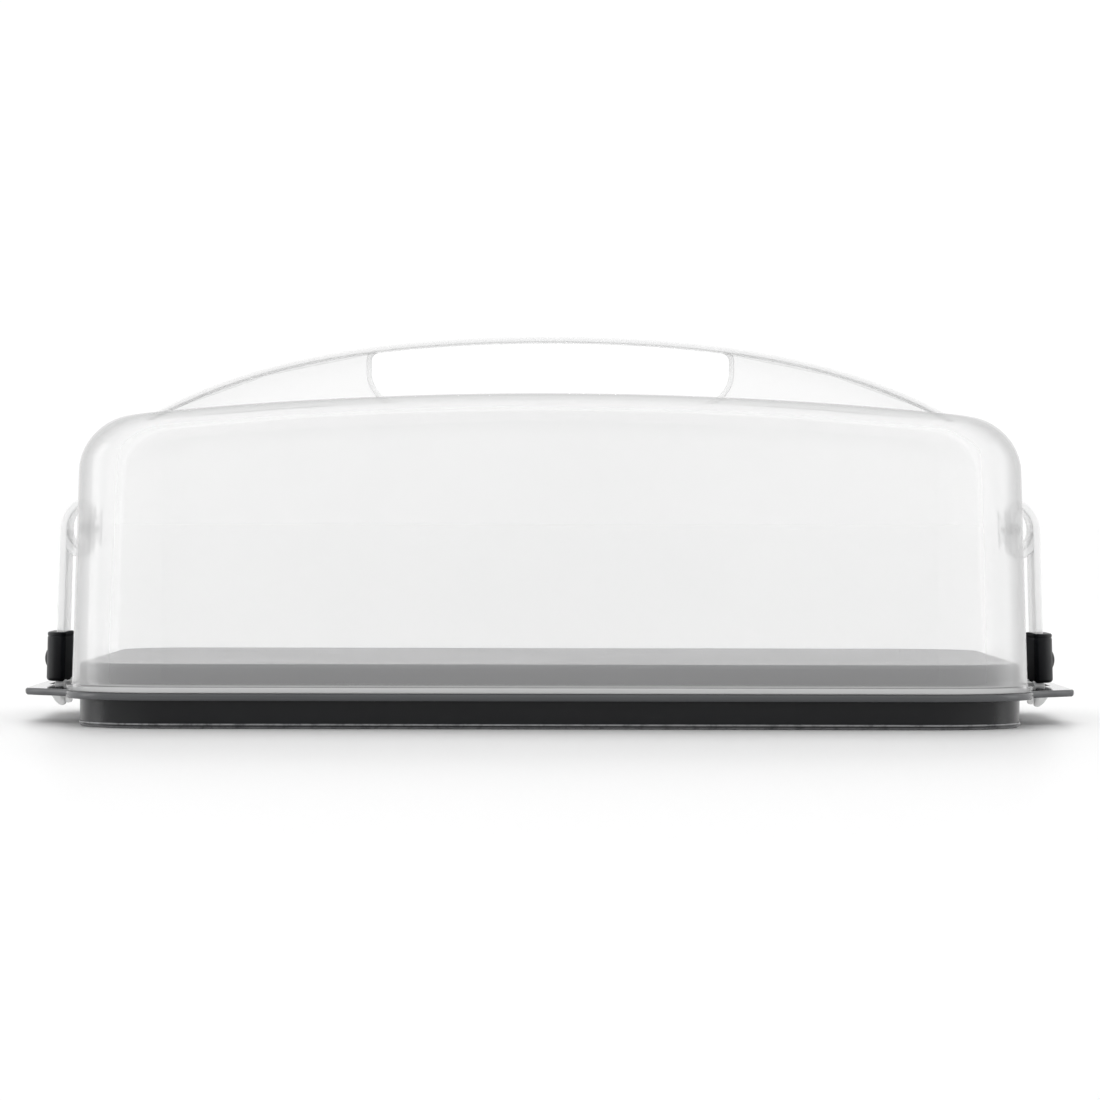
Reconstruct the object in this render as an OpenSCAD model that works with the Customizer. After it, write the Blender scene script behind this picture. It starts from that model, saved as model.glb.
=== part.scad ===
// Cake carrier: a flat tray, a see-through hood with an arched carry handle,
// and a squeeze latch on each short side.
// X runs along the long side, Y runs from front to back, Z is up.
// The origin is on the table, under the middle of the carrier.

/* [Hood] */
// Length of the hood at its foot, along X
hood_len = 395.8; // [340:0.2:460]
// Depth of the hood at its foot, along Y
hood_dep = 285.2; // [240:0.2:340]
// Height of the roof's crown above the tray's flange
hood_rise = 122.8; // [100:0.2:160]
// Wall of the hood
hood_wall = 1.8; // [1.2:0.1:3]
// Lean of the walls, in degrees
hood_draft = 1.8; // [0.5:0.1:3]
// Plan radius of the upright corners at the foot
corner_r = 41; // [30:1:55]
// Radius between the short walls and the roof
shoulder_r = 21; // [12:1:24]
// Radius between the long walls and the roof
brow_r = 14; // [8:1:18]
// Fall of the roof from its crown to the shoulder
crown_drop = 9.1; // [4:0.1:14]
// Thickness of the flat rim around the foot of the hood
rim_t = 2.6; // [1.6:0.1:4]
// Width of the rim outside the wall
rim_over = 2; // [1:0.1:2.4]

/* [Tray] */
// Height of the foot below the flange
foot_h = 11.6; // [8:0.2:20]
// Thickness of the flange and the tabs
flange_t = 2.9; // [2:0.1:5]
// Width of the flange outside the hood wall
flange_over = 2.4; // [2.4:0.1:5]
// Height of the platform above the flange
platform_rise = 12; // [6:0.5:20]
// Thickness of the platform plate
platform_t = 2.4; // [1.6:0.1:4]
// Wall of the foot and of the platform's side
foot_wall = 3.2; // [2.4:0.1:4]
// Edge radius at the bottom of the foot
foot_edge_r = 1.4; // [0.6:0.1:2]
// Edge radius around the platform
platform_edge_r = 2; // [1:0.1:3]
// Gap between the platform's side and the inside of the hood
platform_gap = 1.2; // [0.8:0.1:2.5]
// Reach of each tab beyond the flange
tab_reach = 20.4; // [19:0.1:30]
// Length of a tab where it leaves the flange
tab_root = 184; // [120:1:200]
// Length of a tab along its outer edge
tab_tip = 140; // [80:1:160]
// Rounding of the tab's corners in plan
tab_round = 8; // [4:0.5:12]

/* [Carry handle] */
// Height of the handle above the crown of the roof
handle_rise = 27; // [20:0.5:45]
// Reach of the handle's line past the start of the roof's shoulders
handle_over = 3; // [0:0.5:4]
// Thickness of the rail along the top
rail_t = 2.8; // [2:0.1:5]
// Width of the rail, along Y
rail_w = 21; // [12:0.5:30]
// Thickness of the upright web under the rail
web_t = 2.2; // [1.6:0.1:4]
// Length of the hand window
window_len = 154.6; // [100:0.2:200]
// Radius of the window's lower corners
window_r = 13; // [6:0.5:16]
// Width of the bead around the window
bead_w = 2.2; // [1.2:0.1:4]
// Thickness of the bead, along Y
bead_t = 5; // [3:0.1:9]

/* [Latches] */
// Height of the hinge pin above the flange
pivot_rise = 66.9; // [55:0.1:80]
// Distance from the hood wall to the pin's axis
pivot_out = 3.7; // [3.6:0.1:6]
// Radius of the hinge pin
pin_r = 1.4; // [1:0.1:1.8]
// Running clearance between the pin and the latch, on the radius
pin_run = 0.08; // [0.02:0.01:0.1]
// Wall of the latch hub around the pin
hub_wall = 1.4; // [1:0.1:1.8]
// Thickness of each hinge ear, along Y
ear_t = 4; // [2.5:0.1:8]
// Outside radius of the round loop at the head of the latch
loop_r = 14.4; // [11:0.1:17]
// Distance from the pin's axis to the outer face of the strap
strap_out = 11.4; // [9:0.1:14]
// Thickness of the strap and the loop
strap_t = 3.2; // [2.4:0.1:4]
// Width of the strap and the loop, along Y
strap_w = 34; // [24:1:44]
// Outward lean of the latch at rest, in degrees
latch_lean = 1.5; // [0:0.1:2.5]
// Height of the soft grip
grip_h = 21.2; // [16:0.2:30]
// Width of the soft grip, along Y
grip_w = 43; // [42:1:60]
// Rubber behind the strap
grip_back = 1.2; // [0.8:0.1:2]
// Rubber in front of the strap
grip_front = 3; // [2:0.1:5]
// Corner radius of the soft grip
grip_r = 2.6; // [1:0.1:3]
// Gap between the soft grip and the tab under it
grip_gap = 0.8; // [0.6:0.1:2]
// Half height of the domed thumb bump
bump_half = 5; // [3:0.1:8]
// Height of the thumb bump
bump_h = 1.6; // [0.8:0.1:3]
// Width of each prong, along Y
prong_w = 8; // [5:0.5:11]
// Distance over the two prongs, along Y
prong_span = 39; // [30:1:40]
// Thickness of a prong, along X
prong_t = 4.6; // [4:0.1:6]
// Reach of the barb beyond the strap's outer face
barb_reach = 1.6; // [1:0.1:2.5]
// Height of the barb from its shelf to the prong's tip
barb_h = 5.6; // [4:0.1:8]
// Turn of the latch when it is pressed inward, in degrees
press_deg = 2.5; // [1:0.1:3]

/* [Hidden] */

// Clearances
seat_gap = 0.05;
sleeve_gap = 0.05;
ear_gap = 0.4;
slot_gap = 0.3;
barb_gap = 0.8;

// Heights above the table
flange_z = foot_h + flange_t;
platform_z = flange_z + platform_rise;
hood_z = flange_z + seat_gap;
crown_z = flange_z + hood_rise;
shoulder_z = crown_z - crown_drop - shoulder_r;
pivot_z = flange_z + pivot_rise;

// Places in plan
corner_x = hood_len / 2 - corner_r;
corner_y = hood_dep / 2 - corner_r;
lean = tan(hood_draft);
shoulder_corner_r = corner_r - (shoulder_z - hood_z) * lean;
roof_end = corner_x + shoulder_corner_r - shoulder_r;
flange_x = hood_len / 2 + flange_over;
flange_y = hood_dep / 2 + flange_over;
platform_inset = hood_wall + platform_gap + platform_rise * lean;
platform_x = hood_len / 2 - platform_inset;
platform_y = hood_dep / 2 - platform_inset;
platform_corner_r = corner_r - platform_inset;
tab_x = flange_x + tab_reach;

// Half length and half depth of the hood's outside at height z
function wall_x(z) = hood_len / 2 - (z - hood_z) * lean;
function wall_y(z) = hood_dep / 2 - (z - hood_z) * lean;

// Roof line and handle line, both as heights over x
roof_steps = 32;
brow_steps = 5;
foot_band = 0.5;
roof_xs = [for (i = [-roof_steps / 2 : roof_steps / 2]) 2 * i / roof_steps * roof_end];
handle_half = roof_end + handle_over;
bow_share = 0.45;
function roof_line(x) = crown_z - crown_drop * pow(x / roof_end, 2);
function bow(u) = 1 - bow_share * pow(u, 2) - (1 - bow_share) * pow(u, 4);
function handle_line(x) = roof_line(x) + handle_rise * bow(x / handle_half);

// Handle: its line is cut where it is still a little above the roof
handle_cut = 0.985;
handle_steps = 60;
handle_xs = [for (i = [-handle_steps / 2 : handle_steps / 2])
             2 * i / handle_steps * handle_half * handle_cut];
window_x = window_len / 2;
window_top_r = 3;

// Latch, seen from the side with its pin at the origin and +X outward
pivot_x = wall_x(pivot_z) + pivot_out;
hub_r = pin_r + pin_run + hub_wall;
ear_r = hub_r;
ear_hole_r = pin_r + 0.04;
ear_y = strap_w / 2 + ear_gap;
ear_foot = 8;
pin_len = 2 * (ear_y + ear_t) + 1;
bar_t = strap_t;
strap_in = strap_out - strap_t;
prong_in = strap_out - prong_t;
grip_low = -(pivot_rise - grip_gap);
grip_top = grip_low + grip_h;
plate_top = grip_low + grip_h / 2;
plate_low = grip_low + 1;
shelf_low = -(pivot_rise + flange_t + barb_gap);
tip_low = shelf_low - barb_h;
bump_r = (pow(bump_half, 2) + pow(bump_h, 2)) / (2 * bump_h);

// Slot in the tab: the barb clears its outer edge at rest, and the prong clears its inner edge when pressed
tab_drop = pivot_z - foot_h;
slot_out = pivot_x + (strap_out + barb_reach) * cos(latch_lean) - shelf_low * sin(latch_lean) + slot_gap;
slot_in = pivot_x + prong_in * cos(latch_lean) + pivot_rise * sin(latch_lean)
          - tab_drop * sin(press_deg) - slot_gap;
slot_half = prong_span / 2 + 2 * slot_gap;

tray_colour = [0.17, 0.18, 0.20];
hood_colour = [0.90, 0.92, 0.93, 0.55];
grip_colour = [0.06, 0.06, 0.07];
pin_colour = [0.80, 0.82, 0.84];

// Helpers
module rounded_rect(half_x, half_y, r) {
    square([2 * (half_x - r), 2 * half_y], center = true);
    square([2 * half_x, 2 * (half_y - r)], center = true);
    for (sx = [-1, 1], sy = [-1, 1])
        translate([sx * (half_x - r), sy * (half_y - r)]) circle(r, $fn = 64);
}

// A ring of round section, filled where the section would pass the axis
module ring(middle_r, r) {
    rotate_extrude($fn = 48)
        intersection() {
            translate([middle_r, 0]) circle(r, $fn = 32);
            translate([0, -r]) square([middle_r + r, 2 * r]);
        }
}

// Extrudes an outline drawn in X and Z, centred on Y
module along_y(width) {
    rotate([90, 0, 0]) linear_extrude(width, center = true) children();
}

module on_side(side) {
    if (side < 0) mirror([1, 0, 0]) children();
    else children();
}

module at_pivot() {
    translate([pivot_x, 0, pivot_z]) rotate([0, -latch_lean, 0]) children();
}

// Tray
module tray_block() {
    hull()
        for (sx = [-1, 1], sy = [-1, 1])
            translate([sx * (platform_x - platform_corner_r), sy * (platform_y - platform_corner_r), 0]) {
                translate([0, 0, foot_edge_r]) ring(platform_corner_r - foot_edge_r, foot_edge_r);
                translate([0, 0, platform_z - platform_edge_r])
                    ring(platform_corner_r - platform_edge_r, platform_edge_r);
            }
}

module flange_outline() {
    offset(r = -tab_round) offset(r = 2 * tab_round) offset(r = -tab_round) {
        rounded_rect(flange_x, flange_y, corner_r + flange_over);
        for (side = [-1, 1])
            polygon([[0, -tab_root / 2], [side * flange_x, -tab_root / 2], [side * tab_x, -tab_tip / 2],
                     [side * tab_x, tab_tip / 2], [side * flange_x, tab_root / 2], [0, tab_root / 2]]);
    }
}

module tray() {
    color(tray_colour)
        difference() {
            union() {
                tray_block();
                translate([0, 0, foot_h]) linear_extrude(flange_t) flange_outline($fn = 64);
            }
            translate([0, 0, -1])
                linear_extrude(platform_z - platform_t + 1)
                    rounded_rect(platform_x - foot_wall, platform_y - foot_wall, platform_corner_r - foot_wall);
            for (side = [-1, 1])
                on_side(side)
                    translate([slot_in, -slot_half, foot_h - 1])
                        cube([slot_out - slot_in, 2 * slot_half, flange_t + 2]);
        }
}

// Hood: the same form is used for the outside and, set in by the wall, for the inside
module roof_slice(fall, half_y) {
    xs = [for (x = roof_xs) if (abs(x) < corner_x) x];
    along_y(2 * half_y)
        polygon(concat([for (x = xs) [x, roof_line(x) - fall]],
                       [[xs[len(xs) - 1], shoulder_z], [xs[0], shoulder_z]]));
}

module hood_form(inset, foot_z) {
    foot_r = corner_r - inset - (foot_z - hood_z) * lean;
    top_r = shoulder_corner_r - inset;
    edge_r = shoulder_r - inset;
    front_r = brow_r - inset;
    front_y = wall_y(crown_z - brow_r) - inset;
    hull() {
        for (sx = [-1, 1], sy = [-1, 1])
            translate([sx * corner_x, sy * corner_y, 0]) {
                translate([0, 0, foot_z])
                    cylinder(r1 = foot_r, r2 = foot_r - foot_band, h = foot_band, $fn = 48);
                translate([0, 0, shoulder_z]) ring(top_r - edge_r, edge_r);
            }
        for (k = [0 : brow_steps])
            roof_slice(inset + front_r * (1 - cos(90 * k / brow_steps)),
                       front_y - front_r + front_r * sin(90 * k / brow_steps));
    }
}

module hood() {
    color(hood_colour)
        difference() {
            union() {
                hood_form(0, hood_z);
                translate([0, 0, hood_z])
                    linear_extrude(rim_t)
                        rounded_rect(hood_len / 2 + rim_over, hood_dep / 2 + rim_over, corner_r + rim_over);
            }
            hood_form(hood_wall, hood_z - 1);
        }
}

// Carry handle
module handle_rail() {
    under = [for (x = handle_xs) [x, max(handle_line(x) - rail_t, roof_line(x) + seat_gap)]];
    along_y(rail_w)
        polygon(concat([for (x = handle_xs) [x, handle_line(x)]],
                       [for (i = [len(under) - 1 : -1 : 0]) under[i]]));
}

module handle_web() {
    along_y(web_t)
        polygon(concat([for (x = handle_xs) [x, handle_line(x) - rail_t / 2]],
                       [for (i = [len(handle_xs) - 1 : -1 : 0])
                        [handle_xs[i], min(roof_line(handle_xs[i]) + seat_gap,
                                           handle_line(handle_xs[i]) - rail_t / 2 - seat_gap)]]));
}

// One half of the window's outline, from the rail down to the roof, grown outward by grow
function window_side(grow) =
    let (r = window_r + grow,
         low = roof_line(window_x - window_r) + window_r,
         high = handle_line(window_x) - rail_t - window_top_r)
    concat([for (a = [90 : -15 : 0])
            [window_x - window_top_r + (window_top_r + grow) * cos(a), high + (window_top_r + grow) * sin(a)]],
           [for (a = [0 : -7.5 : -90]) [window_x - window_r + r * cos(a), low + r * sin(a)]]);

module window_outline(grow) {
    edge = window_side(grow);
    top = handle_line(0) - rail_t;
    polygon(concat([for (p = edge) p], [for (i = [len(edge) - 1 : -1 : 0]) [-edge[i][0], edge[i][1]]]));
    intersection() {
        polygon(concat([for (x = handle_xs) [x, handle_line(x) - rail_t]],
                       [[handle_half, pivot_z], [-handle_half, pivot_z]]));
        translate([-(window_x - window_top_r), crown_z])
            square([2 * (window_x - window_top_r), top - crown_z + 1]);
    }
}

module roof_cut() {
    shoulder_top = roof_line(roof_end) + seat_gap;
    along_y(rail_w + 2)
        polygon(concat([for (x = roof_xs) [x, roof_line(x) + seat_gap]],
                       [[handle_half, shoulder_top], [handle_half, pivot_z],
                        [-handle_half, pivot_z], [-handle_half, shoulder_top]]));
}

module carry_handle() {
    color(hood_colour)
        difference() {
            union() {
                handle_rail();
                handle_web();
                intersection() {
                    along_y(bead_t) window_outline(bead_w);
                    along_y(rail_w)
                        polygon(concat([for (x = handle_xs) [x, handle_line(x) - rail_t / 2]],
                                       [[handle_half, pivot_z], [-handle_half, pivot_z]]));
                }
            }
            along_y(rail_w + 2) window_outline(0);
            roof_cut();
        }
}

// Hinge ears, moulded on the short walls, and the pins through them
module hinge_ears(side) {
    color(hood_colour)
        on_side(side)
            for (y = [-1, 1])
                translate([0, y * (ear_y + ear_t / 2), 0])
                    along_y(ear_t)
                        difference() {
                            union() {
                                translate([pivot_x, pivot_z]) circle(ear_r, $fn = 48);
                                polygon([[wall_x(pivot_z + ear_foot) + seat_gap, pivot_z + ear_foot],
                                         [pivot_x, pivot_z + ear_r], [pivot_x, pivot_z - ear_r],
                                         [wall_x(pivot_z - ear_foot) + seat_gap, pivot_z - ear_foot]]);
                            }
                            translate([pivot_x, pivot_z]) circle(ear_hole_r, $fn = 48);
                        }
}

module hinge_pin(side) {
    color(pin_colour)
        on_side(side)
            translate([pivot_x, 0, pivot_z]) rotate([90, 0, 0]) cylinder(r = pin_r, h = pin_len, center = true, $fn = 48);
}

// Latch arm
module loop_outline() {
    difference() {
        union() {
            intersection() {
                translate([strap_out - loop_r, 0])
                    difference() {
                        circle(loop_r, $fn = 96);
                        circle(loop_r - strap_t, $fn = 96);
                    }
                translate([-bar_t / 2, -loop_r]) square([strap_out + bar_t, 2 * loop_r]);
            }
            intersection() {
                translate([strap_out - loop_r, 0]) circle(loop_r, $fn = 96);
                translate([-bar_t / 2, -loop_r]) square([bar_t, 2 * loop_r]);
            }
            circle(hub_r, $fn = 48);
        }
        circle(pin_r + pin_run, $fn = 48);
    }
}

module prong_outline() {
    polygon([[strap_in, plate_low + 2], [strap_out, plate_low + 2], [strap_out, shelf_low],
             [strap_out + barb_reach, shelf_low], [strap_out + barb_reach * 0.7, shelf_low - barb_h * 0.3],
             [strap_out - prong_t * 0.1, shelf_low - barb_h * 0.7], [strap_out - prong_t * 0.55, tip_low],
             [prong_in + prong_t * 0.1, tip_low], [prong_in, tip_low + barb_h * 0.15],
             [prong_in, grip_low - grip_gap / 4], [strap_in, grip_low - grip_gap / 4]]);
}

module latch_arm(side) {
    color(hood_colour)
        on_side(side)
            at_pivot() {
                along_y(strap_w) loop_outline();
                along_y(strap_w) translate([strap_in, plate_low]) square([strap_t, -plate_low]);
                along_y(prong_span) translate([strap_in, plate_low]) square([strap_t, plate_top - plate_low]);
                for (y = [-1, 1])
                    translate([0, y * (prong_span - prong_w) / 2, 0]) along_y(prong_w) prong_outline();
            }
}

// Soft grip sleeve
module grip_outline() {
    low_r = grip_r * 0.8;
    translate([strap_in - grip_back, grip_low + low_r])
        square([strap_t + grip_back + grip_front, grip_h - low_r]);
    translate([strap_in - grip_back, grip_low])
        square([strap_t + grip_back + grip_front - low_r, low_r]);
    translate([strap_out + grip_front - low_r, grip_low + low_r]) circle(low_r, $fn = 48);
}

// Domed thumb bump on a short plug, standing out along X from the grip's outer face
module bump_dome() {
    rotate([0, 90, 0])
        rotate_extrude($fn = 64) {
            intersection() {
                translate([0, bump_h - bump_r]) circle(bump_r, $fn = 128);
                square([bump_r, bump_h]);
            }
            translate([0, -grip_front / 2]) square([bump_half, grip_front / 2]);
        }
}

module latch_grip(side) {
    color(grip_colour)
        on_side(side)
            at_pivot()
                difference() {
                    union() {
                        intersection() {
                            along_y(grip_w) grip_outline();
                            translate([strap_in - grip_back - grip_r, 0, grip_low - 1])
                                linear_extrude(grip_h + 2)
                                    translate([(strap_t + grip_back + grip_front + grip_r) / 2, 0])
                                        rounded_rect((strap_t + grip_back + grip_front + grip_r) / 2,
                                                     grip_w / 2, grip_r);
                        }
                        translate([strap_out + grip_front, 0, grip_low + grip_h * 0.45]) bump_dome();
                    }
                    along_y(strap_w + 2 * sleeve_gap)
                        translate([strap_in - sleeve_gap, grip_low - 1])
                            square([strap_t + 2 * sleeve_gap, grip_h + 2]);
                    along_y(prong_span + 2 * sleeve_gap)
                        translate([strap_in - sleeve_gap, grip_low - 1])
                            square([strap_t + 2 * sleeve_gap, plate_top - grip_low + 1 + sleeve_gap]);
                }
}

tray();
hood();
carry_handle();
hinge_ears(-1);  // hinge_ears_left
hinge_ears(1);  // hinge_ears_right
hinge_pin(-1);  // hinge_pin_left
hinge_pin(1);  // hinge_pin_right
latch_arm(-1);  // latch_arm_left
latch_arm(1);  // latch_arm_right
latch_grip(-1);  // latch_grip_left
latch_grip(1);  // latch_grip_right
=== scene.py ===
# %% [markdown]
# # Cake carrier
# A rectangular carrier for a sheet cake: a dark moulded tray, a milky hood that lifts off, a carry
# handle arched over the roof, and a squeeze latch on each short side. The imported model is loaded
# first. It fixes every size and every joint, and the cells below only dress it.

# %% Load the frame
import math

import bmesh
import bpy
import numpy as np
from mathutils import Matrix, Vector


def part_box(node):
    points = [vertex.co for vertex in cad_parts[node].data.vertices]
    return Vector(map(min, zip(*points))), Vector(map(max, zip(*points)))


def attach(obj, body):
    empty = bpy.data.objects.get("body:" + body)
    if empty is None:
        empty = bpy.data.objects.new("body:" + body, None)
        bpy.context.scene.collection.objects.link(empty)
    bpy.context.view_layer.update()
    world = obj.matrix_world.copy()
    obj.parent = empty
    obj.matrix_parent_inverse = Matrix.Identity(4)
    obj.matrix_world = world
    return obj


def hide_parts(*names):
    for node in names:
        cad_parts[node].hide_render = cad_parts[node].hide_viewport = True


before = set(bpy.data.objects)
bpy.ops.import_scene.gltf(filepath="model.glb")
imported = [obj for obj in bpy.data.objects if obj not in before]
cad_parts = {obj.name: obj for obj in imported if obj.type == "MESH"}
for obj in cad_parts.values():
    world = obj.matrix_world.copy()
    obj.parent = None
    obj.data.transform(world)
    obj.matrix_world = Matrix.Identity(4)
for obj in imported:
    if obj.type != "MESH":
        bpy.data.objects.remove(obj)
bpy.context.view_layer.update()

# %% [markdown]
# Sizes are written in millimetres with a unit. What the frame already knows, such as where the
# hood's rim and the platform lie, is read from the boxes of the CAD nodes. The rest are the wall
# thicknesses and radii of the mouldings.

# %% Sizes of the carrier
MM = 0.001

hood_low, hood_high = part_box("hood")
tray_low, tray_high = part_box("tray")
handle_low, handle_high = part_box("carry_handle")

RIM_OVER = 2.0 * MM
RIM_T = 2.6 * MM
HOOD_WALL = 1.8 * MM
HOOD_HALF_X = hood_high[0] - RIM_OVER
HOOD_HALF_Y = hood_high[1] - RIM_OVER
HOOD_Z = hood_low[2]
CROWN_Z = hood_high[2]
CORNER_R = 41.0 * MM
SHOULDER_R = 21.0 * MM
BROW_R = 14.0 * MM
CROWN_DROP = 9.1 * MM
DRAFT = math.tan(math.radians(1.8))

CORNER_X = HOOD_HALF_X - CORNER_R
CORNER_Y = HOOD_HALF_Y - CORNER_R
SHOULDER_Z = CROWN_Z - CROWN_DROP - SHOULDER_R
ROOF_END = CORNER_X + CORNER_R - (SHOULDER_Z - HOOD_Z) * DRAFT - SHOULDER_R

FOOT_H = 11.6 * MM
FLANGE_Z = HOOD_Z - 0.05 * MM
FLANGE_R = CORNER_R + 2.4 * MM
PLATFORM_Z = tray_high[2]
PLATFORM_R = CORNER_R - HOOD_WALL - 1.2 * MM - (PLATFORM_Z - FLANGE_Z) * DRAFT
PLATFORM_T = 2.4 * MM
FOOT_WALL = 3.2 * MM
print("roof runs to x = %.1f mm, platform top at z = %.1f mm" % (ROOF_END / MM, PLATFORM_Z / MM))

# %% [markdown]
# Nearly every moulding here goes once round a rounded rectangle. That is a spine, the small
# rectangle through the corner centres, and a unit normal: every outline is `spine + radius *
# normal`. One set of spine points and normals serves the hood, its rim, the flange and the
# platform, and all their rings line up point for point.

# %% The plan that everything follows
ARC_STEPS = 14
LONG_STEPS = 44
SHORT_STEPS = 40


def plan_path():
    """Spine points and unit normals, counter-clockwise from the middle of the right side.
    Arc: the spine stays on the corner's centre while the normal turns 90 degrees.
    Straight: the spine runs from one corner's centre to the next while the normal stays."""
    spine, normal = [], []
    corners = [(CORNER_X, CORNER_Y), (-CORNER_X, CORNER_Y), (-CORNER_X, -CORNER_Y), (CORNER_X, -CORNER_Y)]
    for i, centre in enumerate(corners):
        turn = math.pi / 2 * (i + np.arange(ARC_STEPS) / ARC_STEPS)
        spine.append(np.tile(centre, (ARC_STEPS, 1)))
        normal.append(np.stack([np.cos(turn), np.sin(turn)], axis=1))
        steps = LONG_STEPS if i % 2 == 0 else SHORT_STEPS
        along = (np.arange(steps) / steps)[:, None]
        spine.append((1 - along) * np.array(centre) + along * np.array(corners[(i + 1) % 4]))
        side = math.pi / 2 * (i + 1)
        normal.append(np.tile([math.cos(side), math.sin(side)], (steps, 1)))
    return np.concatenate(spine), np.concatenate(normal)


SPINE, NORMAL = plan_path()
AROUND = len(SPINE)
print("points around the plan:", AROUND)


def ring(radius, height):
    """One closed ring at spine + radius * normal. Radius and height are numbers or one value per point."""
    plan = SPINE + np.broadcast_to(radius, AROUND)[:, None] * NORMAL
    return np.column_stack([plan, np.broadcast_to(height, AROUND)])


# %% [markdown]
# Two small helpers turn arrays into Blender meshes. A closed moulding is a stack of rings with a
# fan at each end, so it is watertight. Its signed volume tells whether the faces point outwards.

# %% Rings to meshes
SMOOTH_ANGLE = math.radians(32)
SIDES = ((-1, "left"), (1, "right"))


def add_piece(name, verts, faces, body):
    """A new mesh object that rides on a body. Edges sharper than the smooth angle stay crisp."""
    mesh = bpy.data.meshes.new(name)
    mesh.from_pydata(verts.tolist(), [], faces)
    mesh.validate()
    mesh.shade_smooth()
    mesh.set_sharp_from_angle(angle=SMOOTH_ANGLE)
    piece = bpy.data.objects.new(name, mesh)
    bpy.context.scene.collection.objects.link(piece)
    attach(piece, body)
    print(name, len(faces), "faces")
    return piece


def quads_between(rows, columns, wrap=False):
    """Quads of a grid that is closed along its columns, as an array of four vertex numbers each.
    With wrap the last row also meets the first."""
    at = np.arange(rows * columns).reshape(rows, columns)
    if wrap:
        at = np.concatenate([at, at[:1]])
    nxt = np.roll(at, -1, axis=1)
    return np.stack([at[:-1], nxt[:-1], nxt[1:], at[1:]], axis=-1).reshape(-1, 4)


def point_outwards(verts, faces):
    """Turns every face round if the solid's signed volume is negative. The volume is the sum over all
    triangles of a . (b x c), measured from the solid's own middle, divided by six."""
    at = verts - verts.mean(axis=0)
    quads = np.array([face for face in faces if len(face) == 4])
    fans = np.array([face for face in faces if len(face) == 3], dtype=int).reshape(-1, 3)
    triangles = np.concatenate([quads[:, [0, 1, 2]], quads[:, [0, 2, 3]], fans])
    corner = at[triangles]
    volume = np.einsum("ij,ij->i", corner[:, 0], np.cross(corner[:, 1], corner[:, 2])).sum() / 6
    return faces if volume > 0 else [face[::-1] for face in faces]


def stack_rings(rings):
    """Vertices and faces of a closed solid: rings in order, and a fan to the middle of the first
    and of the last."""
    rings = np.asarray(rings)
    rows, columns = rings.shape[:2]
    verts = np.concatenate([rings.reshape(-1, 3), rings[:1].mean(axis=1), rings[-1:].mean(axis=1)])
    quads = quads_between(rows, columns)
    first = np.arange(columns)
    last = first + (rows - 1) * columns
    start_fan = np.stack([np.full(columns, rows * columns), np.roll(first, -1), first], axis=1)
    end_fan = np.stack([np.full(columns, rows * columns + 1), last, np.roll(last, -1)], axis=1)
    return verts, point_outwards(verts, quads.tolist() + start_fan.tolist() + end_fan.tolist())


def arc(start, end, steps):
    """Angles from start to end in degrees, both included, as radians."""
    return np.radians(np.linspace(start, end, steps + 1))


def edge_rings(radius, height, r, start, end, steps, r_up=None):
    """Rings over a rounded edge whose arc has its middle at radius and height. A ring lies at
    radius + r * cos and at height + r * sin, with r_up for the sine where the edge is an ellipse."""
    rise = r if r_up is None else r_up
    return [ring(radius + r * math.cos(phi), height + rise * math.sin(phi)) for phi in arc(start, end, steps)]


# %% [markdown]
# ## The hood
# The hood is one thin moulding. Its walls lean in a little so that it leaves the mould, its roof is
# a shallow arch along the long side, and a rounded brow joins the two. The roof's height is a
# function of x alone, so the brow can be added to it: going inwards over the brow, a point drops
# below the arch by `r * (1 - sin(phi))`. The same rings with every radius reduced by the wall make
# the inside, which keeps the wall an even 1.8 mm.

# %% Hood surface
BROW_STEPS = 10
WALL_STEPS = 8
ROOF_STEPS = 16


def roof_height(x):
    """Height of the arch at x: crown minus drop * (x / roof end) squared."""
    return CROWN_Z - CROWN_DROP * (x / ROOF_END) ** 2


def hood_side(inset):
    """Rings from the foot of the wall to the middle of the roof, for a skin set in by inset. The
    brow's radius goes from the long sides' to the short sides' by the square of the normal's x."""
    brow = BROW_R + (SHOULDER_R - BROW_R) * NORMAL[:, 0] ** 2
    outline_x = (SPINE + CORNER_R * NORMAL)[:, 0]
    wall_top = roof_height(outline_x * 0.985) - brow
    rings = []
    foot = HOOD_Z + RIM_T if inset == 0 else HOOD_Z
    for t in [0, 0.012, 0.03] + list(np.linspace(0, 1, WALL_STEPS + 1)[1:-1]):
        z = foot + (wall_top - foot) * t
        rings.append(ring(CORNER_R - inset - (z - HOOD_Z) * DRAFT, z))
    top_radius = CORNER_R - (wall_top - HOOD_Z) * DRAFT
    for phi in arc(0, 90, BROW_STEPS):
        radius = top_radius - brow + (brow - inset) * math.cos(phi)
        flat = ring(radius, 0)
        z = roof_height(flat[:, 0]) - brow + (brow - inset) * math.sin(phi)
        # The wall's own lean fades out over the brow, so the skin stays smooth where they meet.
        rings.append(np.column_stack([flat[:, :2], z]))
    edge = rings[-1]
    for t in np.linspace(0, 1, ROOF_STEPS + 1)[1:-1]:
        plan = edge[:, :2] * (1 - t)
        rings.append(np.column_stack([plan, roof_height(plan[:, 0]) - inset]))
    return rings


def hood_rings():
    """The whole shell as one stack: from the crown down the inside, round the rim and up the outside."""
    edge_r = RIM_T * 0.32
    edge_at = CORNER_R + RIM_OVER - edge_r
    fillet = 0.9 * MM
    rim = [ring(CORNER_R - HOOD_WALL, HOOD_Z)]
    rim += edge_rings(edge_at, HOOD_Z + edge_r, edge_r, -90, 0, 4)
    rim += edge_rings(edge_at, HOOD_Z + RIM_T - edge_r, edge_r, 0, 90, 4)
    rim += edge_rings(CORNER_R + fillet, HOOD_Z + RIM_T + fillet, fillet, -90, -180, 4)
    return hood_side(HOOD_WALL)[:0:-1] + rim + hood_side(0)[1:]


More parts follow.
